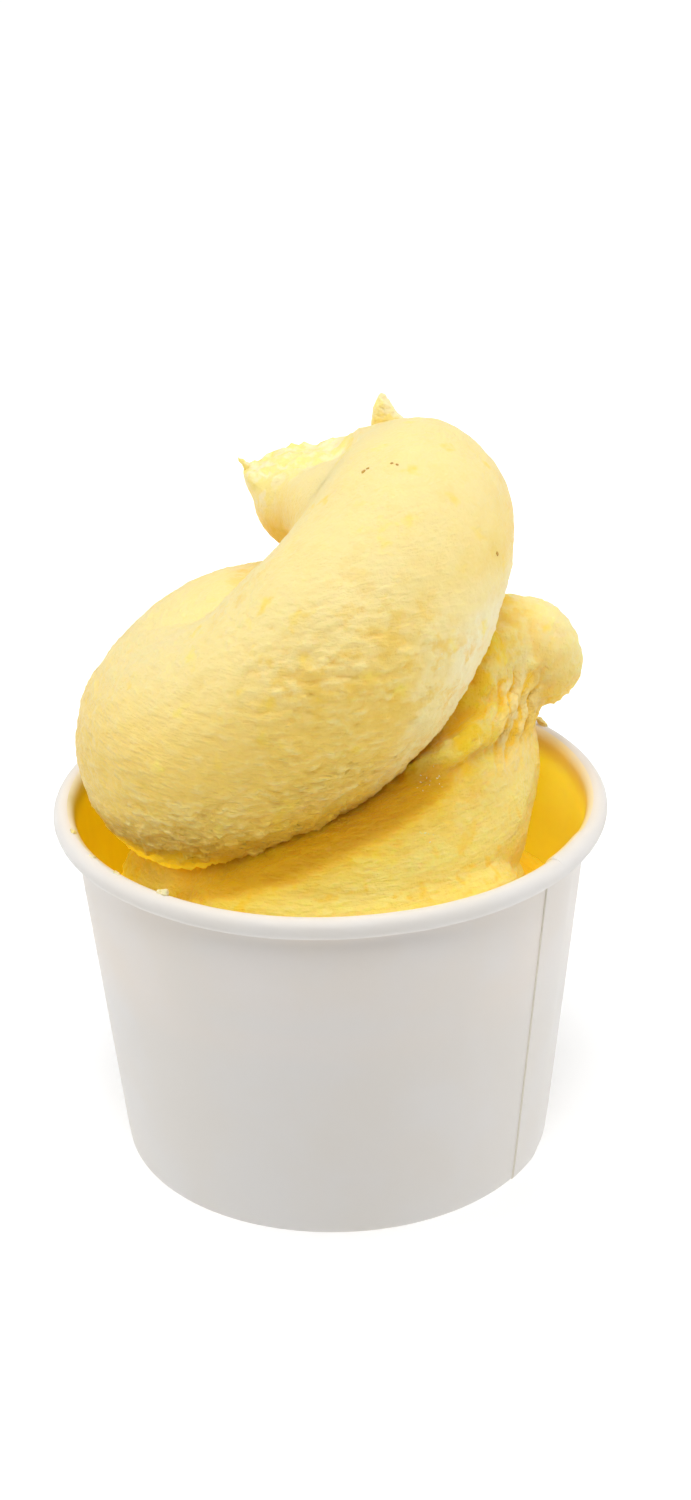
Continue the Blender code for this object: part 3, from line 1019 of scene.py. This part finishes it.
def wrinkles(points):
    """Fine relief left by the nozzle: wrinkles along level circles, and small pits."""
    warp = np.column_stack([noise(points / 7.0, 30 + axis) for axis in range(3)])
    bent = points + 1.6 * warp
    folds = drawn_noise(bent, 4.2, 1.3, 3)
    cells = np.abs(drawn_noise(bent, 2.1, 0.9, 4)) - 0.3
    fine = drawn_noise(bent, 2.0, 0.75, 5)
    pits = np.minimum(noise(bent / 2.0, 6) + 0.25, 0.0)
    patchy = 1.0 + 0.25 * noise(points / 9.0, 8)
    return patchy * (0.34 * folds + 0.6 * cells + 0.22 * fine) + 0.45 * pits


def skin_relief(points, normals, busy):
    """Lumps, wrinkles and ragged undersides together, and the wrinkles alone.

    The wrinkles are as strong as busy says, but calmer to the right, high up and at the back.
    """
    x, y, z = points.T
    busy = busy * (1 - 0.5 * ramp(normals[:, 0], 0.3, 0.9)) * (1 - 0.6 * ramp(z, 96.0, 114.0))
    busy = busy * (1 - 0.7 * ramp(y, 4.0, 10.0) * ramp(x, 6.0, 0.0) * ramp(z, 88.0, 96.0))
    fine = busy * wrinkles(points)
    lumps = 0.4 * noise(points / 12.0, 1) + 0.22 * noise(points / 5.5, 2)
    under = ramp(normals[:, 2], -0.1, -0.6) * ramp(z, 74.0, 62.0)
    return lumps + fine + 0.45 * under * noise(points / 1.6, 7), fine


def settled(points):
    """The points cut by the tear and kept inside the cup and the top, and how torn each is."""
    points, torn = tear(points)
    reach = np.hypot(points[:, 0], points[:, 1])
    most = np.where(points[:, 2] < CUP_HEIGHT, wall_inside(points[:, 2]) + WALL_BITE, np.inf)
    points[:, :2] *= np.minimum(1.0, most / np.maximum(reach, 0.001))[:, None]
    points[:, 2] = np.minimum(points[:, 2], FOOD_TOP)
    return points, torn


def melted_edge(points):
    """Low down against the wall, where the soft serve melts, and where painted shade and a painted
    glow are laid.
    """
    x, y, z = points.T
    return ramp(z, 57.0, 48.0) * ramp(np.hypot(x, y), 24.0, 33.0)


def darkest(shade, melted, x):
    """The deeper of two painted shades: the crease's, and that of the low edge against the wall,
    partly the melting fruit's own colour, which is deeper at the sides.
    """
    return np.maximum(shade, melted * (0.5 + 0.3 * ramp(np.abs(x), 18.0, 28.0)))


def fine_pleats(points):
    """The rise and fall of the finest pleats, under the lobe, and how strong they are."""
    x, _, z = points.T
    across = 0.92 * x - 0.4 * z + 1.3 * noise(points / 4.5, 14)
    strong = ramp(x, 24.0, 27.5) * ramp(x, 36.0, 32.5) * ramp(z, 70.5, 73.0) * ramp(z, 84.5, 81.0)
    return np.sin(across * math.tau / PLEAT_SPACING), strong


def shape_mound(mesh, upper):
    """Relief of the lower turn, its fold and its pleats, pressed in under the upper turn."""
    points = vertex_points(mesh)
    normals = vertex_normals(mesh)
    gap = upper.outside(points)
    x, _, z = points.T
    relief, fine = skin_relief(points, normals, 0.6)
    folded = ramp(z, 72.0, 76.0) * (1 - 0.6 * ramp(x, 29.0, 33.0))
    relief += folded * (0.55 * noise(points / 3.2, 12) + 0.3 * noise(points / 1.5, 13))
    wave, pleated = fine_pleats(points)
    relief += 0.42 * pleated * wave - GROOVE * ramp(gap, 4.5, 0.0)
    shade = ramp(gap, 12.5, 4.0) * (1 - 0.62 * ramp(z, 72.0, 80.0))
    shade *= 1 - 0.2 * ramp(x, -14.0, -24.0) - 0.4 * ramp(x, -22.0, -30.0)
    # Low on the mound: the melting fruit's deeper yellow, painted lighter there, with a faint
    # painted glow
    ripe = 0.9 * ramp(z, 74.0, 62.0)
    melted = melted_edge(points)

    # From here on, the points are where they end up
    points, torn = settled(points + normals * relief[:, None])
    x, _, z = points.T
    # Painted shade in the crease under the upper turn and at the low edge against the wall
    crevice = darkest(shade, melted, x)
    # Painted glow at the low edge against the wall, most at the sides and the left, and under the
    # lobe
    melted *= ramp(np.abs(x), 18.0, 30.0) * (1 + 0.5 * ramp(x, -22.0, -30.0))
    melted += 0.3 * ramp(normals[:, 2], 0.0, -0.6) * ramp(x, 29.0, 33.0) * ramp(z, 71.0, 74.0)
    # Juice's orange and painted shade: across the fold, more near the upper turn, in the pocket and
    # in the pleats' hollows
    juicy = ramp(z, 68.0, 74.0) * (1 - 0.6 * ramp(x, 28.0, 34.0))
    juicy *= 0.5 + 0.8 * ramp(gap, 9.0, 3.0)
    from_juice = np.linalg.norm(points - JUICE_CENTRE, axis=1)
    juicy += 2.5 * ramp(from_juice, JUICE_REACH, JUICE_REACH / 4)
    juicy += 1.2 * pleated * ramp(wave, -0.1, -0.9)
    # Painted highlight over the fold, strongest towards the lobe
    pale = folded * (0.35 + 0.45 * ramp(x, 28.0, 34.0))
    thin = ramp(x, 25.0, 28.0) * ramp(x, 36.0, 33.0) * ramp(z, 69.0, 72.0) * ramp(z, 84.0, 80.0)
    finish_skin(
        mesh,
        points,
        relief=fine,
        torn=torn,
        crevice=crevice,
        melted=melted,
        ripe=ripe,
        thin=thin,
        juicy=juicy,
        # Painted light: lighter where the skin faces up, and over the fold
        lift=normals[:, 2] * ramp(z, 50.0, 105.0) + pale,
    )


def shape_coil(mesh, lower):
    """Relief of the upper turn, busiest on its front and low down, and the tear at its end."""
    points = vertex_points(mesh)
    normals = vertex_normals(mesh)
    right, _, up = normals.T
    gap = lower.outside(points)
    x, y, z = points.T
    front = ramp(x, -24.0, -4.0) * ramp(z, 112.0, 94.0)
    low = ramp(z, 82.0, 68.0) * ramp(x, -36.0, -26.0)
    relief, fine = skin_relief(points, normals, 0.45 + 0.65 * np.maximum(front, 1.35 * low))
    shade = 0.6 * ramp(gap, 7.0, 1.0) * (1 - 0.62 * ramp(z, 72.0, 80.0))
    below = ramp(up, 0.1, -0.7) * ramp(z, 92.0, 98.0) * ramp(x, 6.0, 0.0) * ramp(y, 2.0, 8.0)
    # Painted glow on the upper turn's low, downward-facing left side, as if lit through the fruit
    lit_through = ramp(x, 4.0, -20.0) * ramp(up, -0.35, -0.75) * ramp(z, 66.0, 58.0)
    melted = melted_edge(points)

    # From here on, the points are where they end up
    points, torn = settled(points + normals * relief[:, None])
    x, _, z = points.T
    # Painted light on the side facing +X, frosty in tone
    frost = ramp(right, 0.35, 0.85) * ramp(z, 64.0, 74.0) * ramp(z, 108.0, 98.0)
    finish_skin(
        mesh,
        points,
        relief=fine,
        torn=torn,
        # Painted shade in the crease on the lower turn, under the stub, and at the low edge against
        # the wall
        crevice=darkest(np.maximum(shade, 0.45 * below), melted, x),
        melted=1.8 * lit_through,
        # Painted light: lighter where the skin faces up, and on the side facing +X
        lift=up * ramp(z, 50.0, 105.0) + 1.6 * frost,
    )


def build_soft_serve(food, melting):
    """The lower turn with the heap and the fold, and the upper turn that lies on it."""
    lower = [Rope(stations) for stations in (LOWER_ROPE, APRON, FOLD, BACKING, LOBE, LIP, *PLEATS)]
    upper = [Rope(stations) for stations in (UPPER_ROPE, STUB, SADDLE, CORNER)]
    meshes = [rope.mesh() for rope in lower] + [heap_mesh(), puck_mesh()]
    mound = grown_together("soft_serve_mound", meshes, LOWER_VOXEL, melting)
    shape_mound(mound.data, upper[0])
    coil = grown_together("soft_serve_coil", [rope.mesh() for rope in upper], UPPER_VOXEL, food)
    for centre, reach, rounds in SOFTENED:
        soften(coil, centre, reach, rounds)
    shape_coil(coil.data, lower[0])
    return mound, coil


def build_flakes(material):
    """The torn leaf, the sliver and the crumbs, each a ragged lump of its own."""
    ropes = [Rope(stations) for stations in (*LEAF, SLIVER, *CRUMBS)]
    meshes = [rope.mesh() for rope in ropes]
    flakes = grown_together("soft_serve_flakes", meshes, FLAKE_VOXEL, material)
    points = vertex_points(flakes.data)
    relief = 0.2 * fractal(points / 0.9, 2, 9)
    points += vertex_normals(flakes.data) * relief[:, None]
    points[:, 2] = np.minimum(points[:, 2], FOOD_TOP)
    everywhere = np.ones(len(points))
    # A fixed middle level of painted light
    finish_skin(flakes.data, points, torn=everywhere, thin=everywhere, lift=0.5 * everywhere)
    return flakes


def build_scatter(name, spots, skins, long, flat, material):
    """Tiny ragged grains, each half sunk in the nearest skin at its spot.

    long and flat are their length and thickness over their width.
    """
    trees = []
    for skin in skins:
        bm = bmesh.new()
        bm.from_mesh(skin.data)
        trees.append(BVHTree.FromBMesh(bm))
        bm.free()
    bm = bmesh.new()
    for number, (x, y, z, size) in enumerate(spots):
        hits = [tree.find_nearest(Vector((x, y, z)) * MM) for tree in trees]
        place, normal, _, _ = min(hits, key=lambda hit: hit[3])
        upright = normal.to_track_quat("Z", "X").to_matrix().to_4x4()
        turn = upright @ Matrix.Rotation(2.4 * number, 4, "Z")
        scale = Matrix.Diagonal((size * long * MM, size * MM, size * flat * MM, 1.0))
        made = bmesh.ops.create_icosphere(bm, subdivisions=2, radius=1.0)["verts"]
        for vert in made:
            x, y, _ = vert.co
            vert.co *= 1 + 0.25 * math.sin(5 * x + number) * math.cos(4 * y - number)
            vert.co = Matrix.Translation(place) @ turn @ scale @ vert.co
    mesh = bpy.data.meshes.new(name)
    bm.to_mesh(mesh)
    bm.free()
    mesh.shade_smooth()
    return link_object(name, mesh, material)


def ice_spots():
    """Icy grains strewn over their patches, pale as painted glints."""
    dice = np.random.default_rng(11)
    spots = []
    for x, y, z, reach, count in ICE_PATCHES:
        for shift in dice.normal(size=(count, 3)) * reach * 0.5:
            spots.append((x + shift[0], y + shift[1], z + shift[2], dice.uniform(0.04, 0.085)))
    return spots


def build_fill(material):
    """The hidden lower part of the fill, down to the base."""
    floor = BASE_TOP + BASE_GAP
    profile = [
        (0.0, PUCK_BOTTOM + 1.0),
        (wall_inside(PUCK_BOTTOM) - 1.0, PUCK_BOTTOM + 1.0),
        (wall_inside(PUCK_BOTTOM) - 0.3, PUCK_BOTTOM),
        (wall_inside(floor + 1) - 0.3, floor + 1.0),
        (wall_inside(floor) - 1.3, floor),
        (0.0, floor),
    ]
    return turned("soft_serve_fill", profile, material, steps=120)


# ---------------------------------------------------------------- studio


def build_camera():
    tilt = math.radians(CAMERA_TILT)
    roll = math.radians(CAMERA_ROLL)
    ahead = Vector((0.0, math.cos(tilt), -math.sin(tilt)))
    level = Vector((1.0, 0.0, 0.0))
    up = level.cross(ahead)
    side = level * math.cos(roll) + up * math.sin(roll)
    above = up * math.cos(roll) - level * math.sin(roll)
    camera = bpy.data.objects.new("camera", bpy.data.cameras.new("camera"))
    bpy.context.scene.collection.objects.link(camera)
    camera.data.lens = CAMERA_LENS
    camera.data.sensor_width = 36.0
    camera.data.clip_start = 0.01
    camera.data.clip_end = 50.0
    turn = Matrix((side, above, -ahead)).transposed()
    place = Vector(CAMERA_AIM) - ahead * CAMERA_DISTANCE
    camera.matrix_world = Matrix.Translation(place) @ turn.to_4x4()
    bpy.context.scene.camera = camera


def add_panel(name, place, size, power):
    """A square soft light that faces the cup."""
    light = bpy.data.lights.new(name, "AREA")
    light.size = size
    light.energy = power
    obj = bpy.data.objects.new(name, light)
    bpy.context.scene.collection.objects.link(obj)
    obj.location = place
    ahead = Vector(LIGHT_AIM) - Vector(place)
    obj.rotation_euler = ahead.to_track_quat("-Z", "Y").to_euler()


def build_studio():
    """A white floor, soft panels above and to the sides, and a pale room."""
    bm = bmesh.new()
    bmesh.ops.create_grid(bm, x_segments=24, y_segments=24, size=FLOOR_REACH)
    mesh = bpy.data.meshes.new("floor")
    bm.to_mesh(mesh)
    bm.free()
    floor = link_object("floor", mesh, floor_material())
    floor.location.z = -0.05 * MM
    floor.visible_diffuse = False
    for name, (place, size, power) in PANELS.items():
        add_panel(name, place, size, power)
    build_room()
    bpy.context.scene.view_settings.view_transform = "Standard"


def build_room():
    """Light from all round: dimmer from the front, brighter from behind, above and the floor."""
    world = bpy.data.worlds.new("studio")
    m = Nodes(world, "Background")
    _, back, up = m.parts(m.add("TexCoord").outputs["Generated"])
    behind = m.between(back, -0.5, 0.6, 0.06, 0.42)
    above = m.between(up, 0.1, 0.9, 0.0, 0.04)
    below = m.between(up, 0.0, -0.15, 0.0, 1.18)
    m.feed("Strength", m.math("ADD", m.math("ADD", behind, above), below))
    m.set(Color=(1.0, 1.0, 1.0, 1.0))
    bpy.context.scene.world = world


def main():
    build_studio()
    build_camera()
    food = soft_serve_material("soft_serve", 0.3, 2.5 * MM)
    melting = soft_serve_material("soft_serve_melting", 0.8, 5.0 * MM)
    wall = build_cup_wall()
    base = build_cup_base()
    mound, coil = build_soft_serve(food, melting)
    flakes = build_flakes(food)
    fill = build_fill(melting)
    skins = (mound, coil)
    brown = plain_material("fruit_speck", BROWN, 0.6, 2500.0)
    specks = build_scatter("soft_serve_specks", SPECKS, skins, 1.35, 0.5, brown)
    # Icy grains, pale as painted glints
    frozen = plain_material("ice", ICE, 0.2, 2500.0, 0.03)
    ice = build_scatter("soft_serve_ice", ice_spots(), skins, 2.5, 0.8, frozen)
    for piece, node, slot in (
        (wall, "cup_wall", "cup_paper"),
        (base, "cup_base", "base_paper"),
        (mound, "soft_serve", "soft_serve"),
        (coil, "soft_serve", "soft_serve"),
        (flakes, "soft_serve", "soft_serve"),
        (fill, "soft_serve", "soft_serve"),
        (specks, "soft_serve", "soft_serve"),
        (ice, "soft_serve", "soft_serve"),
    ):
        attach(piece, "root")
        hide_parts(node)


main()
